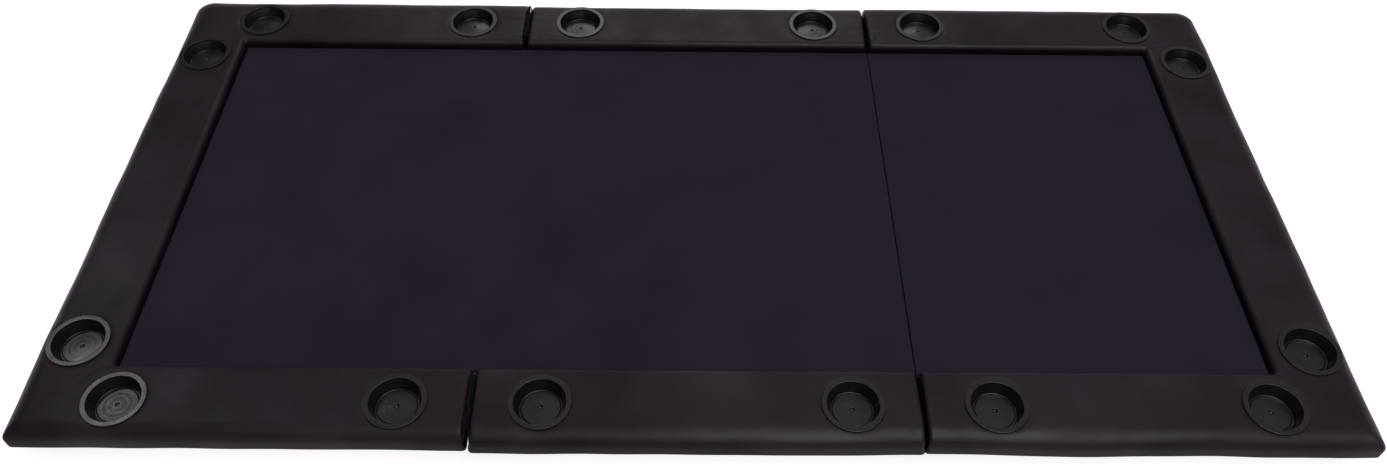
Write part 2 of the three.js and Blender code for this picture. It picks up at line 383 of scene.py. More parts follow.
@dataclass(frozen=True)
class Vinyl(Finish):
    """Soft upholstery vinyl: a fine pebbled grain and slightly uneven polish."""

    dark: tuple[float, float, float] = (0.0076, 0.0034, 0.0070)
    light: tuple[float, float, float] = (0.0130, 0.0062, 0.0118)
    pebble_scale: float = 620.0
    pebble_depth: float = 0.00025
    roughness: tuple[float, float] = (0.40, 0.54)
    shine: tuple[float, float] = (0.06, 0.30)
    # Heights over which the shine fades out downwards: painted shade on the lower part of the rail.
    shine_levels: tuple[float, float] = (0.028, 0.0475)
    patches: tuple[float, float] = (0.72, 1.28)

    def fill(self, shader: Shader) -> None:
        """Feeds the surface's sockets."""
        shader.set(IOR=1.5)
        shader.feed("Specular IOR Level", self.shine_with_painted_low_shade(shader))
        tone = shader.ramp(shader.noise(9.0, 5.0), [(0.35, self.dark), (0.65, self.light)])
        shader.feed("Base Color", tone)
        shader.feed("Roughness", shader.scaled(shader.noise(14.0, 6.0, 0.6), *self.roughness))
        puckers = shader.bump(shader.stretched_noise((42.0, 42.0, 42.0), 2.0), 0.0012, 0.35)
        pebbles = shader.bump(shader.cells(self.pebble_scale), self.pebble_depth, 0.55, puckers)
        shader.feed("Normal", shader.bump(shader.noise(2600.0, 2.0), 0.00006, 0.4, pebbles))

    def shine_with_painted_low_shade(self, shader: Shader) -> bpy.types.NodeSocket:
        """The shine, in broad patches on top for polish from hands; its dulling towards the table's underside
        is painted shade low on the rail.
        """
        split = shader.nodes.new("ShaderNodeSeparateXYZ")
        shader.links.new(shader.place, split.inputs[0])
        # Painted shade: the specular level falls with height, so the lower rolls and faces read dark.
        spread = shader.nodes.new("ShaderNodeMapRange")
        spread.interpolation_type = "SMOOTHSTEP"
        shader.links.new(split.outputs["Z"], spread.inputs["Value"])
        spread.inputs["From Min"].default_value, spread.inputs["From Max"].default_value = self.shine_levels
        spread.inputs["To Min"].default_value, spread.inputs["To Max"].default_value = self.shine
        patchy = shader.nodes.new("ShaderNodeMath")
        patchy.operation = "MULTIPLY"
        shader.links.new(spread.outputs["Result"], patchy.inputs[0])
        shader.links.new(shader.scaled(shader.noise(4.5, 2.0), *self.patches), patchy.inputs[1])
        return patchy.outputs[0]


@dataclass(frozen=True)
class Felt(Finish):
    """Short-pile felt: no gloss, a soft bloom at grazing angles, brushed patches and a fibrous surface."""

    dark: tuple[float, float, float] = (0.0200, 0.0148, 0.0262)
    light: tuple[float, float, float] = (0.0268, 0.0200, 0.0348)

    def fill(self, shader: Shader) -> None:
        """Feeds the surface's sockets."""
        shader.set(
            Specular_IOR_Level=0.08,
            Roughness=0.95,
            Sheen_Weight=0.05,
            Sheen_Roughness=0.55,
            Sheen_Tint=(0.62, 0.58, 0.78, 1.0),
        )
        patches = shader.ramp(shader.noise(5.5, 7.0, 0.62), [(0.30, self.dark), (0.70, self.light)])
        mix = shader.nodes.new("ShaderNodeMix")
        mix.data_type = "RGBA"
        mix.blend_type = "MULTIPLY"
        mix.inputs["Factor"].default_value = 0.5
        shader.links.new(patches, mix.inputs[6])
        fibres = shader.noise(1500.0, 3.0, 0.7)
        flecks = shader.ramp(fibres, [(0.30, (0.55, 0.55, 0.58)), (0.72, (1.0, 1.0, 1.0))])
        shader.links.new(flecks, mix.inputs[7])
        shader.feed("Base Color", mix.outputs[2])
        lie = shader.bump(shader.stretched_noise((220.0, 90.0, 120.0), 4.0), 0.0004, 0.35)
        shader.feed("Normal", shader.bump(shader.noise(2200.0, 4.0, 0.7), 0.0003, 0.6, lie))


@dataclass(frozen=True)
class Plastic(Finish):
    """Moulded black plastic with a fine spark-eroded texture and faint handling marks."""

    colour: tuple[float, float, float] = (0.0052, 0.0040, 0.0050)
    roughness: tuple[float, float] = (0.24, 0.34)

    def fill(self, shader: Shader) -> None:
        """Feeds the surface's sockets."""
        shader.set(Specular_IOR_Level=0.62, IOR=1.49)
        tones = [(0.3, tuple(0.8 * c for c in self.colour)), (0.7, tuple(1.25 * c for c in self.colour))]
        shader.feed("Base Color", shader.ramp(shader.noise(60.0, 4.0), tones))
        shader.feed("Roughness", shader.scaled(shader.noise(35.0, 6.0, 0.65), *self.roughness))
        shader.feed("Normal", shader.bump(shader.noise(3000.0, 2.0), 0.00005, 0.35))


@dataclass(frozen=True)
class Timber(Finish):
    """Sawn softwood: long grain along X with darker late-wood lines."""

    early: tuple[float, float, float] = (0.50, 0.34, 0.19)
    late: tuple[float, float, float] = (0.29, 0.16, 0.075)

    def fill(self, shader: Shader) -> None:
        """Feeds the surface's sockets."""
        shader.set(Specular_IOR_Level=0.3, Roughness=0.72)
        grain = shader.stretched_noise((3.0, 140.0, 140.0), 6.0)
        shader.feed("Base Color", shader.ramp(grain, [(0.38, self.early), (0.62, self.late)]))
        shader.feed("Normal", shader.bump(grain, 0.0004, 0.5))


@dataclass(frozen=True)
class Fibreboard(Finish):
    """Medium-density fibreboard: a fine speckle, bare below and near-black on its top and edges, partly a
    black stain and partly painted shade in the rail gaps between the boards.
    """

    pale: tuple[float, float, float] = (0.30, 0.195, 0.110)
    deep: tuple[float, float, float] = (0.20, 0.120, 0.063)
    # Near-black: a stain, and painted shade where the board shows deep in the rail gaps.
    stain: tuple[float, float, float] = (0.004, 0.004, 0.004)

    def fill(self, shader: Shader) -> None:
        """Feeds the surface's sockets."""
        shader.set(Specular_IOR_Level=0.35)
        speckle = shader.noise(900.0, 5.0, 0.75)
        bare = shader.ramp(speckle, [(0.35, self.deep), (0.65, self.pale)])
        # Painted shade: the near-black top and edges also stand in for the shade inside the joint gaps.
        split = shader.nodes.new("ShaderNodeSeparateXYZ")
        shader.links.new(shader.nodes["Texture Coordinate"].outputs["Normal"], split.inputs[0])
        upward = shader.nodes.new("ShaderNodeMath")
        upward.operation = "GREATER_THAN"
        upward.inputs[1].default_value = -0.5
        shader.links.new(split.outputs["Z"], upward.inputs[0])
        mix = shader.nodes.new("ShaderNodeMix")
        mix.data_type = "RGBA"
        shader.links.new(upward.outputs[0], mix.inputs["Factor"])
        shader.links.new(bare, mix.inputs[6])
        mix.inputs[7].default_value = (*self.stain, 1.0)
        shader.feed("Base Color", mix.outputs[2])
        shader.feed("Roughness", shader.scaled(shader.noise(6.0, 5.0), 0.52, 0.68))
        shader.feed("Normal", shader.bump(speckle, 0.0001, 0.5))


@dataclass(frozen=True)
class Foam(Finish):
    """Open-cell foam: pale, matt and pitted."""

    colour: tuple[float, float, float] = (0.46, 0.43, 0.37)

    def fill(self, shader: Shader) -> None:
        """Feeds the surface's sockets."""
        shader.set(Specular_IOR_Level=0.1, Roughness=0.95)
        tones = [(0.2, tuple(0.6 * c for c in self.colour)), (0.7, self.colour)]
        shader.feed("Base Color", shader.ramp(shader.noise(700.0, 4.0, 0.7), tones))
        shader.feed("Normal", shader.bump(shader.cells(900.0), 0.0006, 0.8))


@dataclass(frozen=True)
class BlackSteel(Finish):
    """Powder-coated steel: matt black with a fine orange-peel coat, rubbed a little brighter in places."""

    colour: tuple[float, float, float] = (0.0022, 0.0021, 0.0023)

    def fill(self, shader: Shader) -> None:
        """Feeds the surface's sockets."""
        shader.set(Metallic=0.0, Specular_IOR_Level=0.10)
        tones = [(0.35, self.colour), (0.75, tuple(2.2 * c for c in self.colour))]
        shader.feed("Base Color", shader.ramp(shader.noise(120.0, 5.0), tones))
        shader.feed("Roughness", shader.scaled(shader.noise(300.0, 4.0), 0.58, 0.74))
        shader.feed("Normal", shader.bump(shader.noise(1400.0, 2.0), 0.0001, 0.4))


@dataclass(frozen=True)
class BrightSteel(Finish):
    """Zinc-plated steel for screws, pins and staples, dulled a little by handling."""

    colour: tuple[float, float, float] = (0.52, 0.53, 0.55)

    def fill(self, shader: Shader) -> None:
        """Feeds the surface's sockets."""
        shader.set(Metallic=1.0)
        tones = [(0.3, tuple(0.75 * c for c in self.colour)), (0.7, self.colour)]
        shader.feed("Base Color", shader.ramp(shader.noise(400.0, 5.0), tones))
        shader.feed("Roughness", shader.scaled(shader.noise(500.0, 5.0), 0.26, 0.45))
        shader.feed("Normal", shader.bump(shader.stretched_noise((2500.0, 400.0, 400.0)), 0.00004, 0.4))


@dataclass(frozen=True)
class Rubber(Finish):
    """Moulded rubber: matt, with dust in its pores."""

    colour: tuple[float, float, float] = (0.018, 0.018, 0.019)

    def fill(self, shader: Shader) -> None:
        """Feeds the surface's sockets."""
        shader.set(Specular_IOR_Level=0.35)
        tones = [(0.35, self.colour), (0.75, tuple(2.4 * c for c in self.colour))]
        shader.feed("Base Color", shader.ramp(shader.noise(220.0, 6.0, 0.7), tones))
        shader.feed("Roughness", shader.scaled(shader.noise(90.0, 4.0), 0.68, 0.86))
        shader.feed("Normal", shader.bump(shader.noise(1600.0, 3.0), 0.0001, 0.5))


@dataclass
class Finishes:
    """Every material of the object, each made once."""

    vinyl: bpy.types.Material = field(default_factory=lambda: Vinyl().material("vinyl"))
    felt: bpy.types.Material = field(default_factory=lambda: Felt().material("felt"))
    plastic: bpy.types.Material = field(default_factory=lambda: Plastic().material("cup_plastic"))
    timber: bpy.types.Material = field(default_factory=lambda: Timber().material("core_wood"))
    board: bpy.types.Material = field(default_factory=lambda: Fibreboard().material("board"))
    foam: bpy.types.Material = field(default_factory=lambda: Foam().material("foam"))
    black_steel: bpy.types.Material = field(default_factory=lambda: BlackSteel().material("black_steel"))
    bright_steel: bpy.types.Material = field(default_factory=lambda: BrightSteel().material("bright_steel"))
    rubber: bpy.types.Material = field(default_factory=lambda: Rubber().material("rubber"))


# ---------------------------------------------------------------------------------------------- plan


@dataclass
class Plan:
    """The table's own sizes, read from the frame's nodes."""

    end: float
    side: float
    joint: float
    rail_width: float
    rail_gap: float
    rail_top: float
    rail_bottom: float
    felt_top: float
    board_top: float
    board_gap: float
    cups: dict[str, Array]

    @classmethod
    def from_frame(cls, nodes: dict[str, bpy.types.Object]) -> "Plan":
        """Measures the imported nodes.

        Args:
            nodes: The frame's nodes by name.

        Returns:
            The sizes.
        """
        low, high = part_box("rail_cover_right")
        bar_low, bar_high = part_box("rail_cover_middle_near")
        board_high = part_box("board_middle")[1]
        board_right_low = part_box("board_right")[0]
        cups = {}
        for name in nodes:
            if name.startswith("cup_"):
                cup_low, cup_high = (np.array(corner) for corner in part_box(name))
                cups[name] = np.array([*((cup_low + cup_high) / 2)[:2], cup_high[2]])
        return cls(
            end=high[0],
            side=high[1],
            joint=(low[0] + bar_high[0]) / 2,
            rail_width=bar_high[1] - bar_low[1],
            rail_gap=low[0] - bar_high[0],
            rail_top=high[2],
            rail_bottom=low[2],
            felt_top=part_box("felt_middle")[1][2],
            board_top=board_high[2],
            board_gap=board_right_low[0] - board_high[0],
            cups=cups,
        )

    def cups_of(self, section: Section) -> dict[str, Array]:
        """The cup holders of one section, each with its axis's x and y and its rim's level."""
        return {n: c for n, c in self.cups.items() if n.startswith(f"cup_{section.value}_")}


# --------------------------------------------------------------------------------------------- rails


def between(end: Array, body: Array) -> Array:
    """A body's rows with an end's rows before them and the same rows, in reverse, behind them."""
    return np.concatenate([end, body, end[::-1]])


@dataclass(frozen=True)
class Crease:
    """One crease in the vinyl: a soft groove, with a ridge beside it, that fades out at both its ends."""

    x: float
    y: float
    angle: float
    length: float
    depth: float
    width: float = 3.0 * MM

    def height(self, x: Array, y: Array) -> Array:
        """Its height at each place: minus a Gaussian across it, plus a lower and wider one beside it."""
        cos, sin = math.cos(math.radians(self.angle)), math.sin(math.radians(self.angle))
        along = ((x - self.x) * cos + (y - self.y) * sin) / (self.length / 2)
        across = ((y - self.y) * cos - (x - self.x) * sin) / self.width
        fade = np.exp(-(along**4))
        return self.depth * fade * (0.6 * np.exp(-((across - 1.6) ** 2) / 1.5) - np.exp(-(across**2)))


CREASES = (
    Crease(-0.975, -0.435, 52.0, 0.075, 0.55 * MM),
    Crease(-0.948, -0.458, 38.0, 0.050, 0.30 * MM, 4.0 * MM),
    Crease(0.332, -0.512, 118.0, 0.034, 0.90 * MM),
    Crease(0.316, -0.516, 104.0, 0.026, 0.60 * MM, 2.6 * MM),
    Crease(-0.338, 0.419, 128.0, 0.030, 0.80 * MM, 2.4 * MM),
    Crease(-0.326, 0.414, 112.0, 0.026, 0.70 * MM, 2.4 * MM),
    Crease(-0.313, 0.412, 98.0, 0.022, 0.50 * MM, 2.6 * MM),
    Crease(0.372, 0.416, 60.0, 0.030, 0.50 * MM),
    Crease(-0.374, -0.418, 62.0, 0.026, 0.55 * MM, 2.6 * MM),
    Crease(0.945, 0.430, -48.0, 0.070, 0.35 * MM, 4.0 * MM),
    Crease(0.952, -0.424, 44.0, 0.060, 0.30 * MM, 4.0 * MM),
)


@dataclass
class RailCover:
    """One padded length of rail: vinyl over foam, rolled over every edge and turned under the board.

    The surface is a closed cross-section carried along the rail. A point of the cross-section is an
    inset from the table's outer side and a height, so the same section serves a straight bar and a U
    with its two corners.
    """

    plan: Plan
    material: bpy.types.Material
    outer_roll: float = 20.0 * MM
    roll_reach: float = 31.0 * MM
    bottom_roll: float = 7.0 * MM
    inner_roll: float = 10.0 * MM
    end_roll: float = 6.5 * MM
    inner_end_share: float = 0.5
    crown: float = 1.1 * MM
    highest: float = 1.9 * MM
    turn_under: float = 27.0 * MM
    end_flap: float = 24.0 * MM
    near_corner_radius: float = 7.0 * MM
    far_corner_radius: float = 31.0 * MM
    inner_corner_radius: float = 6.0 * MM
    thickness: float = 1.2 * MM
    step: float = 4.2 * MM
    hole_radius: float = 45.2 * MM
    flange_radius: float = 50.0 * MM
    press_width: float = 10.0 * MM
    press_depth: float = 2.2 * MM
    groove_width: float = 2.4 * MM
    groove_depth: float = 0.5 * MM
    top_band: float = 0.012
    gather_pitch: float = 0.019
    gather_reach: float = 0.022
    gather_height: float = 0.30 * MM
    fan_folds: int = 13
    fan_height: float = 0.22 * MM
    wander: float = 1.7 * MM
    stand_out: float = 0.8 * MM
    stray_left: float = 2.6 * MM
    stray_middle: float = 1.9 * MM
    stray_right: float = 0.6 * MM
    heel_room: float = 0.9 * MM
    rib_pitch: float = 11.5 * MM
    rib_height: float = 0.16 * MM
    wedge_outer: float = -2.2 * MM
    wedge_reach: float = 60.0 * MM
    top_steps: int = 31

    def section(self) -> tuple[Array, Array, Array]:
        """The closed cross-section, from the turned-under edge outwards, up, over the top and back below.

        Returns:
            Rows of inset and height, the outward direction at each, and each point's stretch: 0 for what
            always shows, 1 for the inner side below the felt and 2 for the underside that only the end
            flaps cover.
        """
        width, top, low = self.plan.rail_width, self.plan.rail_top, self.plan.rail_bottom
        bottom, outer, inner = self.bottom_roll, self.outer_roll, self.inner_roll
        tuck = self.plan.board_top + 0.6 * MM
        shown = [
            line((self.turn_under, low), (bottom, low), 5),
            arc((bottom, low + bottom), bottom, 270, 180, 10)[1:],
            line((0.0, low + bottom), (0.0, top - outer), 4)[1:],
            arc((0.0, 0.0), 1.0, 180, 90, 15)[1:] * (self.roll_reach, outer) + (self.roll_reach, top - outer),
            line((self.roll_reach, top), (width - inner, top), self.top_steps)[1:],
            arc((width - inner, top - inner), inner, 90, 0, 8)[1:],
            line((width, top - inner), (width - 1.4 * MM, tuck), 5)[1:],
        ]
        hidden = line((width - 1.4 * MM, tuck), (width - 1.4 * MM, low + 2 * MM), 5)[1:]
        under = line((width - 2 * MM, low), (self.turn_under, low), 12)[:-1]
        points = np.concatenate([*shown, hidden, under])
        stretch = np.concatenate(
            [np.zeros(sum(len(s) for s in shown)), np.ones(len(hidden)), np.full(len(under), 2.0)]
        )
        tangent = np.roll(points, -1, axis=0) - np.roll(points, 1, axis=0)
        tangent /= np.linalg.norm(tangent, axis=1, keepdims=True)
        return points, np.stack([-tangent[:, 1], tangent[:, 0]], axis=1), stretch

    def outline(self, inset: Array, along: Array, sign: int) -> tuple[Array, Array]:
        """The plan of a U at a set of insets: each is a rectangle's three sides with two rounded corners.

        The corner's radius goes evenly from the outer one to the inner one across the rail. `along` runs
        0 to 1 up the near arm, 1 to 2 round the near corner, 2 to 3 down the end, 3 to 4 round the far
        corner and 4 to 5 back along the far arm.

        Args:
            inset: Insets from the outer side.
            along: Places along the U.
            sign: -1 for the left U and 1 for the right one.

        Returns:
            X and Y, with one row for each place along and one column for each inset.
        """
        plan = self.plan
        share = np.clip(inset / plan.rail_width, 0, 1)[None, :]
        far = plan.side - inset[None, :]
        out = plan.end - inset[None, :]
        start = plan.joint + plan.rail_gap / 2
        t = along[:, None]
        mirrored = t > 2.5
        outer = np.where(mirrored, self.far_corner_radius, self.near_corner_radius)
        radius = outer * (1 - share) + self.inner_corner_radius * share
        t = np.where(mirrored, 5 - t, t)
        turn = np.clip(t - 1, 0, 1) * np.pi / 2
        arm = start + (out - radius - start) * np.clip(t, 0, 1)
        x = np.where(t < 1, arm, out - radius + radius * np.sin(turn))
        y = far - radius + radius * np.cos(turn)
        y = np.where(t > 2, (far - radius) * (5 - 2 * t), y)
        y = np.where(mirrored, y, -y)
        return sign * x, y

    def places(self) -> Array:
        """Places along a U, spaced evenly at about one step of its outer side."""
        plan = self.plan
        arm = plan.end - plan.joint - plan.rail_gap / 2 - self.far_corner_radius
        half_end = plan.side - self.far_corner_radius
        counts = [round(arm / self.step), 9, round(2 * half_end / self.step)]
        pieces = [
            np.linspace(0, 1, counts[0] + 1)[:-1],
            np.linspace(1, 2, counts[1] + 1)[:-1],
            np.linspace(2, 3, counts[2] + 1)[:-1],
            np.linspace(3, 4, counts[1] + 1)[:-1],
            np.linspace(4, 5, counts[0] + 1),
        ]
        return np.concatenate(pieces)

    def rolled_ends(self, rows: int) -> Array:
        """How far each extra row of an end stands in from the end face, and how much its section shrinks.

        Rows go from the face's middle outwards: the face is the section drawn in towards its middle, then
        the roll is a quarter circle.

        Args:
            rows: Rows on the roll.

        Returns:
            Rows of setback from the face, inset of the section and share of it that is left.
        """
        roll = self.end_roll
        face = [(0.0, roll, share) for share in (0.02, 0.3, 0.6, 0.85)]
        angle = np.linspace(0, np.pi / 2, rows)
        curve = [(roll - roll * math.cos(a), roll - roll * math.sin(a), 1.0) for a in angle]
        return np.array(face + curve[:-1])

    def wrinkles(self, x: Array, y: Array, inset: Array) -> Array:
        """Height of the creases and hollows of stretched vinyl over soft foam.

        What stands above the plain top is eased with a hyperbolic tangent, so that two folded rails don't
        meet.

        Args:
            x: Places along X.
            y: Places along Y.
            inset: Each place's inset from the outer side.

        Returns:
            Height to add to the top.
        """
        plan = self.plan
        uneven = 0.50 * MM * ripple(3, x, y, 0.16) + 0.26 * MM * ripple(5, x, y, 0.05)
        from_joint = np.abs(np.abs(x) - plan.joint) - plan.rail_gap / 2
        pull = self.gather_height * np.exp(-((from_joint / self.gather_reach) ** 2))
        gathers = np.sin(2 * np.pi * y / self.gather_pitch + 2.0 * ripple(8, x, y, 0.09)) * pull
        corner_x = np.abs(x) - (plan.end - plan.rail_width)
        corner_y = np.abs(y) - (plan.side - plan.rail_width)
        reach = np.hypot(corner_x, corner_y)
        angle = np.arctan2(corner_y, corner_x)
        in_corner = smooth(-0.004, 0.004, corner_x) * smooth(-0.004, 0.004, corner_y)
        fan = np.sin(angle * self.fan_folds + 3 * ripple(11, x, y, 0.2))
        fan = fan * np.exp(-(((reach - 0.020) / 0.040) ** 2)) * in_corner
        lift = self.crown * np.clip(1 - ((inset - plan.rail_width / 2) / (plan.rail_width / 2)) ** 2, 0, 1)
        creases = sum(crease.height(x, y) for crease in CREASES)
        raised = uneven + gathers + self.fan_height * fan + lift + creases
        return np.where(raised > 0, self.highest * np.tanh(raised / self.highest), raised)

    def shape(self, x: Array, y: Array, inset: Array, height: Array, cups: dict[str, Array]) -> Array:
        """Settles the plain section: crown and creases on the top, and the hollow that each flange presses.

        Args:
            x: Plain places along X.
            y: Plain places along Y.
            inset: Each point's inset.
            height: Each point's height.
            cups: The section's cup holders.

        Returns:
            Points, in the shape of the arguments with a last axis of three.
        """
        plan = self.plan
        on_top = smooth(plan.rail_top - self.top_band, plan.rail_top - 0.002, height)
        loose = np.ones_like(height)
        for centre in cups.values():
            reach = np.hypot(x - centre[0], y - centre[1])
            loose *= smooth(self.flange_radius - 2 * MM, self.flange_radius + self.press_width, reach)
        z = height + on_top * loose * self.wrinkles(x, y, inset)
        for centre in cups.values():
            reach = np.hypot(x - centre[0], y - centre[1])
            pressed = 1 - smooth(self.hole_radius - 1 * MM, self.flange_radius, reach)
            z -= on_top * self.press_depth * pressed
            groove = np.exp(-(((reach - self.flange_radius - 0.8 * MM) / self.groove_width) ** 2))
            z -= on_top * self.groove_depth * groove
        on_side = 1 - smooth(0.0, 0.03, inset)
        swell = self.wander * (0.8 * ripple(17, x, y, 0.34) + 0.35 * ripple(19, x, y, 0.11)) + self.stand_out
        long_side = smooth(plan.side - plan.rail_width, plan.side - 0.6 * plan.rail_width, np.abs(y))
        short_side = smooth(plan.end - plan.rail_width, plan.end - 0.6 * plan.rail_width, np.abs(x))
        moved_x = x + on_side * swell * short_side * np.sign(x) + self.wedge(x, inset) + self.heel(x, height)
        moved_y = y + on_side * (swell + self.stray(x, y)) * long_side * np.sign(y)
        ribs = np.sin(2 * np.pi * x / self.rib_pitch + 2.5 * ripple(29, x, y, 0.05)) * ripple(31, x, y, 0.16)
        on_roll = smooth(0.0, 0.004, inset) * (1 - smooth(0.016, 0.024, inset)) * smooth(0.03, 0.04, height)
        z += self.rib_height * ribs * on_roll * long_side
        return np.stack([moved_x, moved_y, z], axis=-1)

    def stray(self, x: Array, y: Array) -> Array:
        """How far each section's long sides stand out of line: the hinges have a little play.

        The middle section sits a little nearer the near side than its neighbours do.
        """
        share = 1 - smooth(0.5 * self.plan.joint, 0.98 * self.plan.joint, np.abs(x))
        in_middle = np.abs(x) < self.plan.joint
        aside = np.where(x < 0, self.stray_left, self.stray_right)
        inwards = self.stray_middle * (0.6 + 0.4 * share)
        return np.where(in_middle, -np.sign(y) * inwards, np.sign(y) * aside)

    def heel(self, x: Array, height: Array) -> Array:
        """How far the foot of each end stands out into its gap, where the boards nearly meet."""
        plan = self.plan
        away = np.abs(x) - plan.joint
        reach = plan.rail_gap / 2 - self.heel_room
        low = 1 - smooth(plan.board_top - 7 * MM, plan.board_top + 4 * MM, height)
        return -np.sign(x) * np.sign(away) * reach * low * (1 - smooth(0.0, 0.03, np.abs(away)))

    def wedge(self, x: Array, inset: Array) -> Array:
        """How far the right joint's two ends lean: its gap narrows from the felt to the outer side."""
        share = np.clip(inset / self.plan.rail_width, 0, 1)
        shift = self.wedge_outer * (1 - share)
        away = np.abs(x - self.plan.joint)
        return np.sign(x - self.plan.joint) * shift * (1 - smooth(0.0, self.wedge_reach, away)) * (x > 0)

    def skin(
        self, x: Array, y: Array, inset: Array, height: Array, flap: Array, cups: dict[str, Array]
    ) -> tuple[Array, Array]:
        """Joins a grid of section points into faces, leaving out cup holes and the parts below the felt.

        Args:
            x: X of each grid point.
            y: Y of each grid point.
            inset: Inset of each grid point.
            height: Height of each grid point.
            flap: For each row, 0 along the rail, 1 in an end flap and 2 on an end's roll or face.
            cups: The section's cup holders.

        Returns:
            The points and the faces.
        """
        _, _, stretch = self.section()
        rows, columns = x.shape
        points = self.shape(x, y, inset, height, cups).reshape(-1, 3)
        faces = grid_faces(rows, columns, columns_close=True)
        row, column = faces // columns, faces % columns
        need = np.max(stretch[column], axis=1)
        closing = (column.max(axis=1) == columns - 1) & (column.min(axis=1) == 0)
        need = np.where(closing, 2, need)
        has = np.min(flap[row], axis=1)
        keep = (need == 0) | ((need == 2) & (has >= 1)) | (has >= 2)
        middle = points[faces].mean(axis=1)
        upper = middle[:, 2] > self.plan.rail_top - self.top_band
        for centre in cups.values():
            keep &= ~(upper & (np.hypot(*(middle[:, :2] - centre[:2]).T) < self.hole_radius))
        return points, faces[keep]

    def end_rows(self) -> tuple[Array, Array, Array, Array]:
        """The section at each row of a rolled end, from the face's middle to where the plain rail starts.

        Returns:
            Setback, inset and height of each point, and the flap state of each row.
        """
        section, outward, _ = self.section()
        rows = self.rolled_ends(7)
        middle = np.array([self.plan.rail_width / 2, (self.plan.rail_top + self.plan.rail_bottom) / 2])
        inner_start = self.plan.rail_width - self.inner_roll
        inner_side = smooth(inner_start, self.plan.rail_width - 1.4 * MM, section[:, 0])
        eased = outward * (1 - (1 - self.inner_end_share) * inner_side)[:, None]
        drawn = section[None] - eased[None] * rows[:, 1][:, None, None]
        drawn = middle + (drawn - middle) * rows[:, 2][:, None, None]
        setback = np.repeat(rows[:, 0][:, None], len(section), axis=1)
        return setback, drawn[..., 0], drawn[..., 1], np.full(len(rows), 2.0)

    def bar(self, side: Side) -> bpy.types.Object:
        """Makes the straight bar on one long side of the middle section."""
        plan = self.plan
        section, _, _ = self.section()
        setback, inset, height, end_state = self.end_rows()
        half = plan.joint - plan.rail_gap / 2
        plain = np.linspace(-half + self.end_roll, half - self.end_roll, round(2 * half / self.step))
        xs = np.repeat(plain[:, None], len(section), axis=1)
        body_inset, body_height = (np.repeat(section[:, k][None], len(plain), axis=0) for k in (0, 1))
        flap = np.where(np.abs(plain) > half - self.end_flap, 1.0, 0.0)
        x = np.concatenate([-half + setback, xs, (half - setback)[::-1]])
        inset = between(inset, body_inset)
        height = between(height, body_height)
        flap = between(end_state, flap)
        y = side.value * (plan.side - inset)
        cups = {n: c for n, c in plan.cups_of(Section.MIDDLE).items() if np.sign(c[1]) == side.value}
        points, faces = self.skin(x, y, inset, height, flap, cups)
        if side is Side.NEAR:
            faces = faces[:, ::-1]
        return self.finish(f"rail_cover_middle_{side.name.lower()}", points, faces, Section.MIDDLE)

    def u_shape(self, section_name: Section) -> bpy.types.Object:
        """Makes the U round an outer section."""
        plan = self.plan
        sign = -1 if section_name is Section.LEFT else 1
        section, _, _ = self.section()
        setback, inset, height, end_state = self.end_rows()
        along = self.places()
        x, y = self.outline(section[:, 0], along, sign)
        start = plan.joint + plan.rail_gap / 2
        squeeze = 1 - np.clip((np.abs(x) - start) / 0.2, 0, 1)
        x = sign * (np.abs(x) + self.end_roll * squeeze)
        body_inset, body_height = (np.repeat(section[:, k][None], len(along), axis=0) for k in (0, 1))
        near_x = sign * (start + setback)
        near_y = -(plan.side - inset)
        flap = np.where(np.abs(x[:, 0]) < start + self.end_flap, 1.0, 0.0)
        x = between(near_x, x)
        y = np.concatenate([near_y, y, -near_y[::-1]])
        inset = between(inset, body_inset)
        height = between(height, body_height)
        flap = between(end_state, flap)
        points, faces = self.skin(x, y, inset, height, flap, plan.cups_of(section_name))
        if section_name is Section.RIGHT:
            faces = faces[:, ::-1]
        return self.finish(f"rail_cover_{section_name.value}", points, faces, section_name)

    def finish(self, node: str, points: Array, faces: Array, section: Section) -> bpy.types.Object:
        """Makes the piece, gives it its thickness and says what it stands for.

        Args:
            node: The CAD cover that it replaces.
            points: The skin's points.
            faces: The skin's faces.
            section: The body that it rides on.

        Returns:
            The piece.
        """
        piece = make_piece(f"padded_{node}", points, faces, self.material)
        give_thickness(piece, self.thickness)
        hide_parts(node, node.replace("cover", "pad"))
        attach(piece, section.value)
        return piece

    def build(self) -> list[bpy.types.Object]:
        """Makes all four lengths of rail."""
        bars = [self.bar(side) for side in Side]
        return bars + [self.u_shape(section) for section in (Section.LEFT, Section.RIGHT)]


# ---------------------------------------------------------------------------------------------- felt


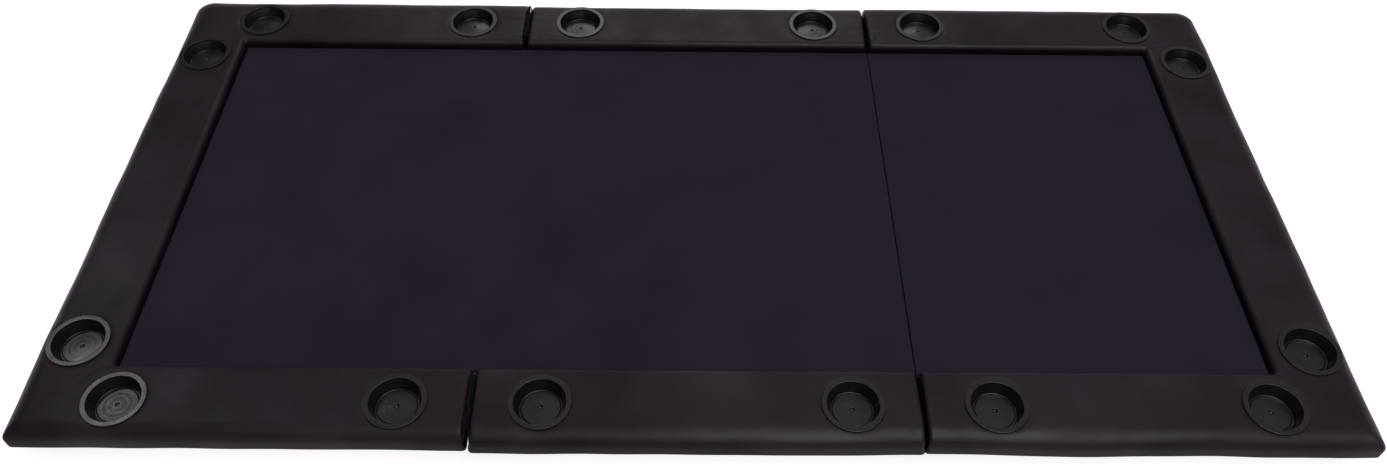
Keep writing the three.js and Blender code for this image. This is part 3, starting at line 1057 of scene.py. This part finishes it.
@dataclass
class Underlay:
    """The foam under the cloth: one slab on each section, soft at its upper edges."""

    plan: Plan
    material: bpy.types.Material
    edge: float = 5.0 * MM
    upright: float = 1.5 * MM
    setback: float = 0.9 * MM
    inner_rings: tuple[float, ...] = (0.1, 0.2, 0.28)
    side_points: int = 60

    def slab(self, section: Section) -> bpy.types.Object:
        """Makes one slab: rectangles from its foot to its top, drawn in along a quarter of an ellipse."""
        node = f"underlay_{section.value}"
        low, high = (np.array(corner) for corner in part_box(node))
        low[:2] += self.setback
        high[:2] -= self.setback
        foot, top = low[2] + self.upright, high[2]
        roll = arc((0.0, 0.0), 1.0, 180, 90, 7) * (self.edge, top - low[2] - self.upright)
        rings = self.inner_rings
        inset = np.concatenate([rings[::-1], [0.0, 0.0], roll[1:, 0] + self.edge, rings])
        below, above = [low[2]] * len(rings), [top] * len(rings)
        level = np.concatenate([below, [low[2], foot], roll[1:, 1] + foot, above])
        unit = np.linspace(-1, 1, self.side_points)
        flat = np.ones_like(unit)
        across = np.concatenate([unit, flat, -unit, -flat])
        along = np.concatenate([-flat, unit, flat, -unit])
        half, middle = (high - low) / 2, (high + low) / 2
        x = middle[0] + across * np.maximum(half[0] - inset[:, None], 0.004)
        y = middle[1] + along * np.maximum(half[1] - inset[:, None], 0.004)
        points = np.stack([x, y, np.repeat(level[:, None], x.shape[1], axis=1)], axis=-1)
        ends = points[[0, -1]].copy()
        ends[:, :, :2] = middle[:2]
        closed = np.concatenate([ends[:1], points, ends[1:]])
        faces = grid_faces(len(closed), x.shape[1], columns_close=True)
        slab = make_piece(f"foam_{node}", closed.reshape(-1, 3), faces, self.material)
        close_poles(slab)
        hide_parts(node)
        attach(slab, section.value)
        return slab

    def build(self) -> list[bpy.types.Object]:
        """Makes all three slabs."""
        return [self.slab(section) for section in Section]


@dataclass
class PlayingCloth:
    """The felt: one cloth over the left joint and one on the right section."""

    plan: Plan
    material: bpy.types.Material
    thickness: float = 0.8 * MM
    hem_roll: float = 1.5 * MM
    tuck: float = 5.5 * MM
    bridge: float = 29.0 * MM
    coarse: float = 9.0 * MM
    fine: float = 1.6 * MM
    fine_reach: float = 18.0 * MM
    clearance: float = 0.4 * MM
    rail_dip: float = 3.4 * MM
    tuft_heights: tuple[float, float] = (3.5 * MM, 3.0 * MM)
    tuft_width: float = 0.0055
    tuft_length: float = 0.011
    bend_depth: float = 0.35 * MM
    bend_width: float = 0.004
    hem_drop: float = 4.6 * MM

    def spread(
        self, low: float, high: float, close: list[float], free_low: bool = False, free_high: bool = False
    ) -> Array:
        """Grid lines from low to high, coarse in the open and fine near the given places.

        Args:
            low: The first line.
            high: The last line.
            close: Places that need fine lines round them.
            free_low: Whether the low edge has a hem, which needs three more lines.
            free_high: The same for the high edge.

        Returns:
            The lines, in order.
        """
        reach = self.fine_reach
        lines = [np.arange(low, high, self.coarse), [high]]
        for place in close:
            lines.append(np.arange(max(low, place - reach), min(high, place + reach), self.fine))
        values = np.unique(np.round(np.concatenate(lines), 6))
        values = values[np.concatenate([[True], np.diff(values) > 0.4 * self.fine])]
        hem = 0.5 * self.hem_roll
        below = [low + 0.02 * MM, low + 0.25 * hem, low + hem] if free_low else []
        above = [high - hem, high - 0.25 * hem, high - 0.02 * MM] if free_high else []
        return np.unique(np.concatenate([values, below, above, [high]]))

    def surface(self, xs: Array, ys: Array, free_low: bool, free_high: bool) -> Array:
        """The cloth's height: flat on its foam, tucked down at the rails and rolled over a free edge.

        Args:
            xs: Grid lines along X.
            ys: Grid lines along Y.
            free_low: Whether the low X edge is free at a joint, not tucked under a rail.
            free_high: The same for the high X edge.

        Returns:
            The points, as a grid.
        """
        plan = self.plan
        x, y = np.meshgrid(xs, ys, indexing="ij")
        level = plan.felt_top + 0.16 * MM * ripple(21, x, y, 0.35)
        level = level + 0.08 * MM * ripple(23, x, y, 0.07) + 0.15 * MM
        from_low, from_high = x - xs[0], xs[-1] - x
        sides = np.minimum(y - ys[0], ys[-1] - y)
        out_of_reach = 9.0
        sides = np.minimum(sides, from_low + out_of_reach * free_low)
        sides = np.minimum(sides, from_high + out_of_reach * free_high)
        level -= self.rail_dip * (1 - smooth(0, self.tuck, sides)) ** 2
        for free, away in ((free_low, from_low), (free_high, from_high)):
            if free:
                turn = self.hem_roll - np.clip(away, 0, self.hem_roll)
                level -= self.hem_roll - np.sqrt(np.clip(self.hem_roll**2 - turn**2, 0, None))
                level -= np.where(away < 1e-7, self.hem_drop, 0.0)
        if not free_low:
            across = np.abs(x + plan.joint)
            for end_line, height in zip((ys[0], ys[-1]), self.tuft_heights):
                beside = np.abs(y - end_line)
                tuft = np.exp(-((across / self.tuft_width) ** 2))
                tuft = tuft * np.exp(-((beside / self.tuft_length) ** 2))
                folds = 0.75 + 0.25 * np.sin((x + plan.joint) / 0.0022 + y / 0.004)
                level += height * tuft * folds
            level -= self.bend_depth * np.exp(-((across / self.bend_width) ** 2))
        return np.stack([x, y, level], axis=-1)

    def cloth(
        self, name: str, low: float, high: float, nodes: list[str], section: Section
    ) -> bpy.types.Object:
        """Makes one cloth between two places along X.

        Args:
            name: The piece's name.
            low: Its low X edge.
            high: Its high X edge.
            nodes: The CAD felts that it stands for.
            section: The body that it rides on, for a cloth that stays on one body.

        Returns:
            The piece.
        """
        plan = self.plan
        half = plan.side - plan.rail_width - self.clearance
        ys = self.spread(-half, half, [-half, half])
        close = [low, high] + ([-plan.joint] if section is Section.MIDDLE else [])
        free_low, free_high = section is Section.RIGHT, section is Section.MIDDLE
        xs = self.spread(low, high, close, free_low, free_high)
        points = self.surface(xs, ys, free_low, free_high)
        faces = grid_faces(len(xs), len(ys))[:, ::-1]
        piece = make_piece(name, points.reshape(-1, 3), faces, self.material)
        give_thickness(piece, self.thickness)
        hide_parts(*nodes)
        return piece

    def build(self) -> list[bpy.types.Object]:
        """Makes both cloths; the long one rides on no body, and the short one rides on the right section."""
        plan = self.plan
        inner_end = plan.end - plan.rail_width - self.clearance
        board_edge = plan.joint - plan.board_gap / 2
        covered = ["felt_left", "felt_middle"]
        long = self.cloth("felt_cloth_long", -inner_end, board_edge, covered, Section.MIDDLE)
        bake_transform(long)
        short_low = plan.joint + plan.board_gap / 2
        short = self.cloth("felt_cloth_short", short_low, inner_end, ["felt_right"], Section.RIGHT)
        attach(short, Section.RIGHT.value)
        return [long, short]


# ---------------------------------------------------------------------------------------------- cups


@dataclass
class CupHolder:
    """A drop-in cup holder: a flat flange, a tapered well and a floor that rises to a dimpled middle."""

    plan: Plan
    material: bpy.types.Material
    flange_radius: float = 50.0 * MM
    mouth_radius: float = 41.5 * MM
    floor_radius: float = 34.5 * MM
    flange_thickness: float = 1.5 * MM
    wall: float = 1.5 * MM
    depth: float = 21.0 * MM
    floor_rise: float = 3.4 * MM
    floor_step: float = 2.0 * MM
    dimple_radius: float = 3.5 * MM
    segments: int = 96

    def profile(self) -> Array:
        """The section from the underside's middle, round the outside and flange, to the floor's middle."""
        under = -self.depth - self.wall
        lip = 0.55 * MM
        fillet = 1.2 * MM
        outer_wall = self.mouth_radius + self.wall
        flange_root = (self.mouth_radius + 3.2 * MM, -self.flange_thickness)
        outside = [
            [[0.0, under]],
            line((6 * MM, under), (self.floor_radius - 2 * MM, under), 3),
            arc((self.floor_radius - 1.6 * MM, under + 3 * MM), 3 * MM, 270, 345, 5),
            line((self.floor_radius + 2.4 * MM, -self.depth + 4 * MM), (outer_wall, -3.2 * MM), 4),
            [[outer_wall + 0.6 * MM, -self.flange_thickness - 0.1 * MM]],
            line(flange_root, (self.flange_radius - lip, -self.flange_thickness), 3),
        ]
        flange = [
            arc((self.flange_radius - lip, -self.flange_thickness + lip), lip, 290, 360, 4),
            arc((self.flange_radius - lip, -lip), lip, 0, 90, 5),
            line((self.flange_radius - 1.4 * MM, -0.02 * MM), (self.mouth_radius + 1.6 * MM, -0.02 * MM), 4),
            arc((self.mouth_radius + 0.8 * MM, -0.85 * MM), 0.8 * MM, 80, 175, 5),
        ]
        side = line((self.mouth_radius - 0.1 * MM, -2.6 * MM), (self.floor_radius, -self.depth + 1.4 * MM), 8)
        turn = arc((self.floor_radius - fillet, -self.depth + fillet), fillet, 350, 270, 5)
        step_centre = (self.floor_radius - 4.0 * MM, -self.depth + self.floor_step - 0.6 * MM)
        step = arc(step_centre, 0.6 * MM, 10, 90, 4)
        radius = np.linspace(self.floor_radius - 5.2 * MM, self.dimple_radius * 1.9, 12)
        share = 1 - (radius - radius[-1]) / (radius[0] - radius[-1])
        middle = -self.depth + self.floor_rise
        rise = self.floor_step + (self.floor_rise - self.floor_step) * share + 0.05 * MM * np.sin(share * 16)
        floor = np.stack([radius, -self.depth + rise], axis=1)
        floor = np.concatenate([[[self.floor_radius - 3.3 * MM, -self.depth + 0.2 * MM]], step, floor])
        dimple = [
            [self.dimple_radius + 0.7 * MM, middle + 0.25 * MM],
            [self.dimple_radius + 0.1 * MM, middle + 0.1 * MM],
            [self.dimple_radius, middle - 0.3 * MM],
            [self.dimple_radius * 0.95, middle - 3.0 * MM],
            [0.0, middle - 3.2 * MM],
        ]
        return np.concatenate([*outside, *flange, side, turn, floor, dimple])

    def build(self) -> list[bpy.types.Object]:
        """Makes a cup in place of each CAD one."""
        profile = self.profile()
        made = []
        for section in Section:
            for node, place in self.plan.cups_of(section).items():
                points, faces = turned(profile, self.segments, place)
                piece = make_piece(node.replace("cup_", "cup_holder_"), points, faces, self.material)
                close_poles(piece)
                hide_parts(node)
                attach(piece, section.value)
                made.append(piece)
        return made


# ---------------------------------------------------------------------------------- feet and fixings


@dataclass
class Screw:
    """A domed screw head with a cross recess: the dome's height is lowered inside two crossed slots."""

    material: bpy.types.Material
    rings: int = 12
    segments: int = 40

    def make(
        self, name: str, place: Array, facing: tuple[float, float, float], radius: float
    ) -> bpy.types.Object:
        """Makes one screw head.

        Args:
            name: The piece's name.
            place: The middle of the head's seat.
            facing: The unit direction that the head faces, along an axis.
            radius: The head's radius.

        Returns:
            The piece, not yet riding.
        """
        share = np.linspace(0, 1, self.rings)[:, None]
        angle = np.linspace(0, 2 * np.pi, self.segments, endpoint=False)[None]
        a, b = share * radius * np.cos(angle), share * radius * np.sin(angle)
        dome = 0.42 * radius * np.sqrt(np.clip(1 - share**2, 0, 1)) + 0 * angle
        slot_width, slot_length = 0.13 * radius, 0.62 * radius
        in_a = (np.abs(a) < slot_width) & (np.abs(b) < slot_length)
        in_b = (np.abs(b) < slot_width) & (np.abs(a) < slot_length)
        depth = np.where(in_a | in_b, dome - 0.4 * radius * (1 - share), dome)
        up = np.array(facing)
        first = np.array([1.0, 0, 0]) if abs(up[0]) < 0.5 else np.array([0, 1.0, 0])
        second = np.cross(up, first)
        points = place + a[..., None] * first + b[..., None] * second + depth[..., None] * up
        seat = (place + a[-1:, :, None] * first + b[-1:, :, None] * second - 0.25 * MM * up).reshape(-1, 3)
        middle = np.repeat((place - 0.25 * MM * up)[None], self.segments, axis=0)
        every = np.concatenate([points.reshape(-1, 3), seat, middle])
        faces = grid_faces(self.rings + 2, self.segments, columns_close=True)
        piece = make_piece(name, every, faces, self.material)
        close_poles(piece)
        return piece


@dataclass
class Foot:
    """A round rubber foot with a soft edge and a recessed screw."""

    material: bpy.types.Material
    screw_material: bpy.types.Material
    screw_radius: float = 3.6 * MM
    recess: float = 3.2 * MM
    roll: float = 1.6 * MM
    segments: int = 48

    def build(self, nodes: dict[str, bpy.types.Object]) -> list[bpy.types.Object]:
        """Makes a foot in place of each CAD one, with its screw."""
        made = []
        for node in sorted(n for n in nodes if n.startswith("foot_")):
            low, high = (np.array(corner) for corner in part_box(node))
            radius, height = (high[1] - low[1]) / 2, high[2] - low[2]
            place = np.array([(low[0] + high[0]) / 2, (low[1] + high[1]) / 2, low[2]])
            roll = self.roll
            profile = np.concatenate(
                [
                    [[0.0, self.recess], [4.6 * MM, self.recess]],
                    arc((5.4 * MM, 0.8 * MM), 0.8 * MM, 180, 270, 4),
                    line((8 * MM, 0), (radius - 2 * roll, 0), 3),
                    arc((radius - roll - 0.6 * MM, roll), roll, 270, 350, 6),
                    line((radius - 0.4 * MM, 3 * MM), (radius, height - 0.5 * MM), 3),
                    [[radius - 0.6 * MM, height], [0.0, height]],
                ]
            )
            points, faces = turned(profile, self.segments, place)
            piece = make_piece(node.replace("foot_", "rubber_foot_"), points, faces, self.material)
            close_poles(piece)
            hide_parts(node)
            body = node.split("_")[1]
            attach(piece, body)
            screw_name = node.replace("foot_", "foot_screw_")
            seat = place + [0, 0, self.recess]
            screw = Screw(self.screw_material).make(screw_name, seat, (0, 0, -1), self.screw_radius)
            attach(screw, body)
            made += [piece, screw]
        return made


@dataclass
class HingeFixings:
    """The screws that hold the hinge leaves."""

    material: bpy.types.Material
    radius: float = 3.0 * MM
    aside: float = 3.5 * MM
    sunk: float = 2.0 * MM
    shares: tuple[float, ...] = (0.14, 0.5, 0.86)

    def build(self, nodes: dict[str, bpy.types.Object]) -> list[bpy.types.Object]:
        """Puts screws on every lower leaf; the upper leaves' screws are hidden in the rail gap."""
        made = []
        for node in sorted(n for n in nodes if n.startswith("lower_hinge") and "_leaf_" in n):
            low, high = (np.array(corner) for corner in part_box(node))
            body = node.rsplit("_", 1)[1]
            middle_x = (low[0] + high[0]) / 2 + (-self.aside if body == "middle" else self.aside)
            for index, share in enumerate(self.shares):
                place = np.array([middle_x, low[1] + share * (high[1] - low[1]), high[2] - self.sunk])
                name = node.replace("lower_hinge_", "hinge_screw_").replace("_leaf", "") + f"_{index}"
                screw = Screw(self.material).make(name, place, (0, 0, -1), self.radius)
                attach(screw, body)
                made.append(screw)
        return made


@dataclass
class Staples:
    """Staples that hold the cover's turned-under edge: each crown is a small rounded wire bar."""

    plan: Plan
    material: bpy.types.Material
    spacing: float = 46.0 * MM
    length: float = 10.0 * MM
    wire: float = 0.55 * MM
    inset: float = 19.0 * MM
    from_end: float = 0.05
    from_joint: float = 0.02
    from_corner: float = 0.06

    def places(self, section: Section) -> Array:
        """Rows of x, y and direction for one section's staples, with a little unevenness."""
        plan, spots = self.plan, []
        low, high = {
            Section.LEFT: (-plan.end + self.from_end, -plan.joint - self.from_joint),
            Section.MIDDLE: (-plan.joint + self.from_joint, plan.joint - self.from_joint),
            Section.RIGHT: (plan.joint + self.from_joint, plan.end - self.from_end),
        }[section]
        for sign in (-1, 1):
            xs = np.arange(low, high, self.spacing)
            spots.append(np.stack([xs, np.full_like(xs, sign * (plan.side - self.inset)), 0 * xs], axis=1))
        if section is not Section.MIDDLE:
            sign = -1 if section is Section.LEFT else 1
            ys = np.arange(-plan.side + self.from_corner, plan.side - self.from_end, self.spacing)
            xs = np.full_like(ys, sign * (plan.end - self.inset))
            spots.append(np.stack([xs, ys, 0 * ys + np.pi / 2], axis=1))
        rows = np.concatenate(spots)
        draw = np.random.default_rng(40 + len(rows))
        rows[:, :2] += draw.normal(0, 1.2 * MM, (len(rows), 2))
        rows[:, 2] += draw.normal(0, 0.12, len(rows))
        return rows

    def build(self) -> list[bpy.types.Object]:
        """Makes one piece of staples for each section."""
        made = []
        ring = np.radians([0, 60, 120, 180, 240, 300])
        along = np.array([-0.5, -0.49, -0.42, 0.42, 0.49, 0.5]) * self.length
        drop = np.array([-1.6, -0.9, 0.0, 0.0, -0.9, -1.6]) * self.wire
        size = np.array([0.02, 1, 1, 1, 1, 0.02]) * self.wire
        for section in Section:
            rows = self.places(section)
            u = np.repeat(along[:, None], 6, axis=1)
            v = size[:, None] * np.cos(ring)
            w = self.plan.rail_bottom - 0.35 * MM - drop[:, None] + size[:, None] * np.sin(ring)
            cos, sin = np.cos(rows[:, 2])[:, None, None], np.sin(rows[:, 2])[:, None, None]
            x = rows[:, 0][:, None, None] + u * cos - v * sin
            y = rows[:, 1][:, None, None] + u * sin + v * cos
            z = np.broadcast_to(w, x.shape)
            points = np.stack([x, y, z], axis=-1).reshape(-1, 3)
            one = grid_faces(6, 6, columns_close=True)
            faces = (one[None] + 36 * np.arange(len(rows))[:, None, None]).reshape(-1, 4)
            piece = make_piece(f"cover_staples_{section.value}", points, faces, self.material)
            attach(piece, section.value)
            made.append(piece)
        return made


def dress_nodes(nodes: dict[str, bpy.types.Object], finishes: Finishes) -> None:
    """Gives every CAD node that still shows its procedural finish.

    Args:
        nodes: The frame's nodes.
        finishes: The object's materials.
    """
    by_start = {
        "board": finishes.board,
        "rail_core": finishes.timber,
        "upper_hinge": finishes.black_steel,
        "lower_hinge": finishes.black_steel,
    }
    for name, node in nodes.items():
        for start, material in by_start.items():
            if name.startswith(start):
                lower_pin = name.startswith("lower") and name.endswith("_pin")
                chosen = finishes.bright_steel if lower_pin else material
                node.data.materials.clear()
                node.data.materials.append(chosen)


# -------------------------------------------------------------------------------------------- studio


@dataclass
class Studio:
    """The camera, a pale floor and soft lights.

    The floor lies just below the right section's rails when that section is folded under the middle one.
    """

    floor_level: float = -46.5 * MM
    lens: float = 28.863
    camera_place: tuple[float, float, float] = (-0.01926, -1.39686, 1.54522)
    camera_turn: tuple[float, float, float] = (40.624, -0.609, 0.099)
    sky_strength: float = 0.50
    sky_green: float = 0.87
    sky_stops: tuple[tuple[float, float], ...] = (
        (0.0, 0.08),
        (1.0, 0.50),
        (0.29, 0.12),
        (0.40, 0.85),
        (0.50, 1.0),
        (0.62, 0.72),
    )

    def camera(self) -> None:
        """Makes the camera and puts it in use."""
        data = bpy.data.cameras.new("camera")
        data.lens = self.lens
        data.sensor_width = 36.0
        data.clip_start, data.clip_end = 0.05, 100.0
        eye = bpy.data.objects.new("camera", data)
        eye.location = self.camera_place
        eye.rotation_euler = Euler([math.radians(a) for a in self.camera_turn], "XYZ")
        bpy.context.scene.collection.objects.link(eye)
        bpy.context.scene.camera = eye

    def floor(self) -> None:
        """Makes the floor: a round pale sheet that curves up far away from the object."""
        shader = Shader("studio_floor")
        shader.set(
            Base_Color=(0.50, 0.50, 0.50, 1.0),
            Roughness=1.0,
            Specular_IOR_Level=0.0,
            Emission_Color=(1.0, 1.0, 1.0, 1.0),
            Emission_Strength=0.80,
        )
        radius = np.linspace(0.001, 14.0, 40)
        profile = np.stack([radius, 0.02 * np.clip(radius - 6, 0, None) ** 2], axis=1)
        points, faces = turned(profile, 96, np.array([0.0, 0.0, self.floor_level]))
        make_piece("studio_floor", points, faces, shader.material)

    def light(
        self,
        name: str,
        place: tuple[float, float, float],
        aim: tuple[float, float, float],
        size: tuple[float, float],
        power: float,
        colour: tuple[float, float, float] = (1.0, 1.0, 1.0),
    ) -> None:
        """Adds a soft rectangular light.

        Args:
            name: The light's name.
            place: Where it hangs.
            aim: What it points at.
            size: Its width and height.
            power: In watts.
            colour: Its colour.
        """
        data = bpy.data.lights.new(name, "AREA")
        data.shape = "RECTANGLE"
        data.size, data.size_y = size
        data.energy = power
        data.color = colour
        lamp = bpy.data.objects.new(name, data)
        lamp.location = place
        direction = np.array(aim) - np.array(place)
        lamp.rotation_euler = (
            math.atan2(math.hypot(direction[0], direction[1]), -direction[2]),
            0.0,
            math.atan2(direction[0], -direction[1]) + math.pi,
        )
        bpy.context.scene.collection.objects.link(lamp)

    def sky(self) -> None:
        """Sets the surroundings: a soft grey that is darker on the left."""
        world = bpy.data.worlds.new("studio")
        world.use_nodes = True
        back = world.node_tree.nodes["Background"]
        back.inputs["Strength"].default_value = self.sky_strength
        nodes, links = world.node_tree.nodes, world.node_tree.links
        split = nodes.new("ShaderNodeSeparateXYZ")
        links.new(nodes.new("ShaderNodeTexCoord").outputs["Generated"], split.inputs[0])
        spread = nodes.new("ShaderNodeMapRange")
        spread.inputs["From Min"].default_value = -1.0
        links.new(split.outputs["X"], spread.inputs["Value"])
        ramp = nodes.new("ShaderNodeValToRGB")
        links.new(spread.outputs["Result"], ramp.inputs["Fac"])
        greys = [(place, (shade, self.sky_green * shade, shade)) for place, shade in self.sky_stops]
        fill_ramp(ramp.color_ramp, greys)
        links.new(ramp.outputs["Color"], back.inputs["Color"])
        bpy.context.scene.world = world

    def build(self) -> None:
        """Sets up everything round the object."""
        bpy.context.scene.view_settings.view_transform = "Standard"
        self.camera()
        self.floor()
        self.sky()
        self.light("key", (1.2, -1.7, 4.2), (0.2, -0.1, 0.0), (3.8, 3.0), 110.0)
        self.light("back", (0.0, 4.4, 3.2), (0.0, 0.2, 0.0), (2.4, 1.2), 20.0)
        self.light("window", (-2.75, 1.35, 3.1), (-0.95, -0.45, 0.05), (0.7, 0.5), 10.0, (0.90, 0.94, 1.0))


def corners(box: tuple) -> list[list[float]]:
    """A box's two corners as plain lists of numbers."""
    return [[float(value) for value in corner] for corner in box]


def main() -> None:
    """Builds the table top on the frame."""
    logging.basicConfig(level=logging.INFO, format="%(name)s: %(message)s")
    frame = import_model()
    nodes = frame["nodes"]
    plan = Plan.from_frame(nodes)
    finishes = Finishes()
    Studio().build()
    dress_nodes(nodes, finishes)
    made = RailCover(plan, finishes.vinyl).build()
    made += Underlay(plan, finishes.foam).build()
    made += PlayingCloth(plan, finishes.felt).build()
    made += CupHolder(plan, finishes.plastic).build()
    made += Foot(finishes.rubber, finishes.bright_steel).build(nodes)
    made += HingeFixings(finishes.bright_steel).build(nodes)
    made += Staples(plan, finishes.bright_steel).build()
    for piece in made:
        LOG.info("%s: %d faces", piece.name, len(piece.data.polygons))


if __name__ == "__main__":
    main()
